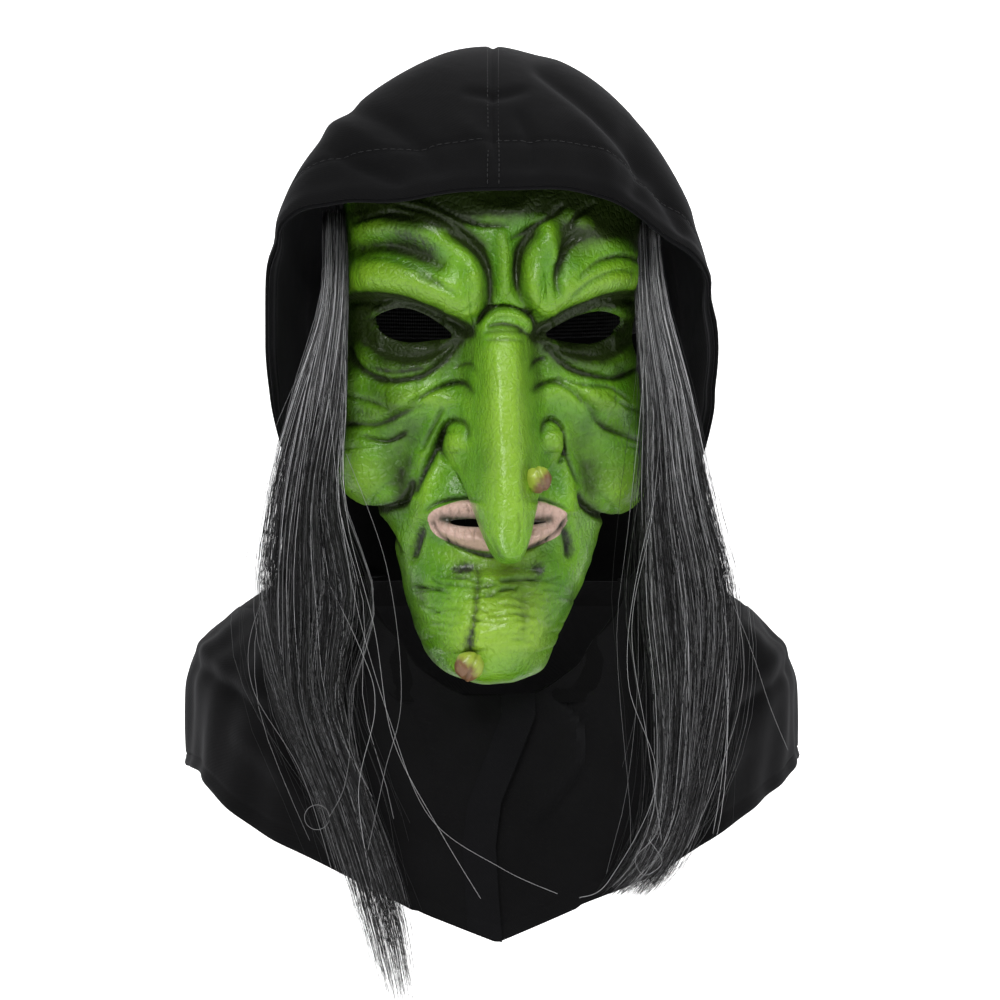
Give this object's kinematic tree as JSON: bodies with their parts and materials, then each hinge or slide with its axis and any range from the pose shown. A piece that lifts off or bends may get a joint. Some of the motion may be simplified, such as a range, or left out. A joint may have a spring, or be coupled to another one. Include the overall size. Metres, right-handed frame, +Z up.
{
  "type": "latex halloween mask",
  "caption": "Green latex crone face with long hooked nose and warts, black cloth hood and shoulder cape, loose grey hair at the temples",
  "frame": {"origin": "middle of the wearer's head, level with the pupils", "axes": "+Z up, the face looks along -Y, +X to the viewer's right"},
  "size_m": [0.294, 0.2859, 0.441],
  "materials": {
    "painted_latex": "slush-cast latex, bright lime green with dark green and black dry-brushed folds, semi-gloss",
    "wart_latex": "yellow-green latex bead with a brown painted side, semi-gloss",
    "black_knit": "matt black polyester knit, fine rib",
    "black_facing": "matt black polyester knit, folded and stitched",
    "closure_tape": "black nylon hook and loop tape",
    "weft_cloth": "black stitched weft",
    "grey_hair": "synthetic fibre, white, grey and black strands mixed, silky",
    "elastic": "black ribbed elastic",
    "rivet_steel": "nickel-plated steel"
  },
  "bodies": {
    "mask": {"face_shell": "painted_latex", "nose_wart": "wart_latex", "chin_wart": "wart_latex", "neck_band_left": "black_knit", "neck_band_right": "black_knit", "cape_left_panel": "black_knit", "cape_right_panel": "black_knit", "hair_weft_left": "weft_cloth", "hair_weft_right": "weft_cloth", "elastic_strap": "elastic", "strap_tab_left": "painted_latex", "strap_tab_right": "painted_latex", "strap_rivets": "rivet_steel"},
    "hood": {"hood_left_panel": "black_knit", "hood_right_panel": "black_knit", "hood_left_facing": "black_facing", "hood_right_facing": "black_facing"},
    "flap_over": {"front_flap_over": "black_knit", "over_edge_binding": "black_facing", "closure_hook_tape": "closure_tape"},
    "flap_under": {"front_flap_under": "black_knit", "under_edge_binding": "black_facing", "closure_loop_tape": "closure_tape"},
    "hair_left_inner": {"hair_left_inner_lock": "grey_hair"},
    "hair_left_outer": {"hair_left_outer_lock": "grey_hair"},
    "hair_right_inner": {"hair_right_inner_lock": "grey_hair"},
    "hair_right_outer": {"hair_right_outer_lock": "grey_hair"}
  },
  "joints": [
    {"name": "hood_fold", "type": "hinge", "parent": "mask", "child": "hood", "pos_m": [0, 0.088, -0.118], "axis": [-1, 0, 0], "range_deg": [0, 38]},
    {"name": "flap_over_hinge", "type": "hinge", "parent": "mask", "child": "flap_over", "pos_m": [-0.04298, -0.10443, -0.175], "axis": [0, -0.1879, -0.9822], "range_deg": [0, 70]},
    {"name": "flap_under_hinge", "type": "hinge", "parent": "mask", "child": "flap_under", "pos_m": [0.04298, -0.10443, -0.175], "axis": [0, 0.1879, 0.9822], "range_deg": [0, 21]},
    {"name": "hair_left_inner_swing", "type": "hinge", "parent": "mask", "child": "hair_left_inner", "pos_m": [-0.074, -0.066, 0.05], "axis": [-1, 0, 0], "range_deg": [0, 50]},
    {"name": "hair_left_outer_swing", "type": "hinge", "parent": "mask", "child": "hair_left_outer", "pos_m": [-0.0815, -0.066, 0.05], "axis": [-1, 0, 0], "range_deg": [0, 40]},
    {"name": "hair_right_inner_swing", "type": "hinge", "parent": "mask", "child": "hair_right_inner", "pos_m": [0.074, -0.066, 0.05], "axis": [-1, 0, 0], "range_deg": [0, 50]},
    {"name": "hair_right_outer_swing", "type": "hinge", "parent": "mask", "child": "hair_right_outer", "pos_m": [0.0815, -0.066, 0.05], "axis": [-1, 0, 0], "range_deg": [0, 40]}
  ],
  "couplings": [
    {"joint": "flap_under_hinge", "follows": "flap_over_hinge", "ratio": 0.3},
    {"joint": "hair_left_outer_swing", "follows": "hair_left_inner_swing", "ratio": 0.8},
    {"joint": "hair_right_outer_swing", "follows": "hair_right_inner_swing", "ratio": 0.8}
  ]
}
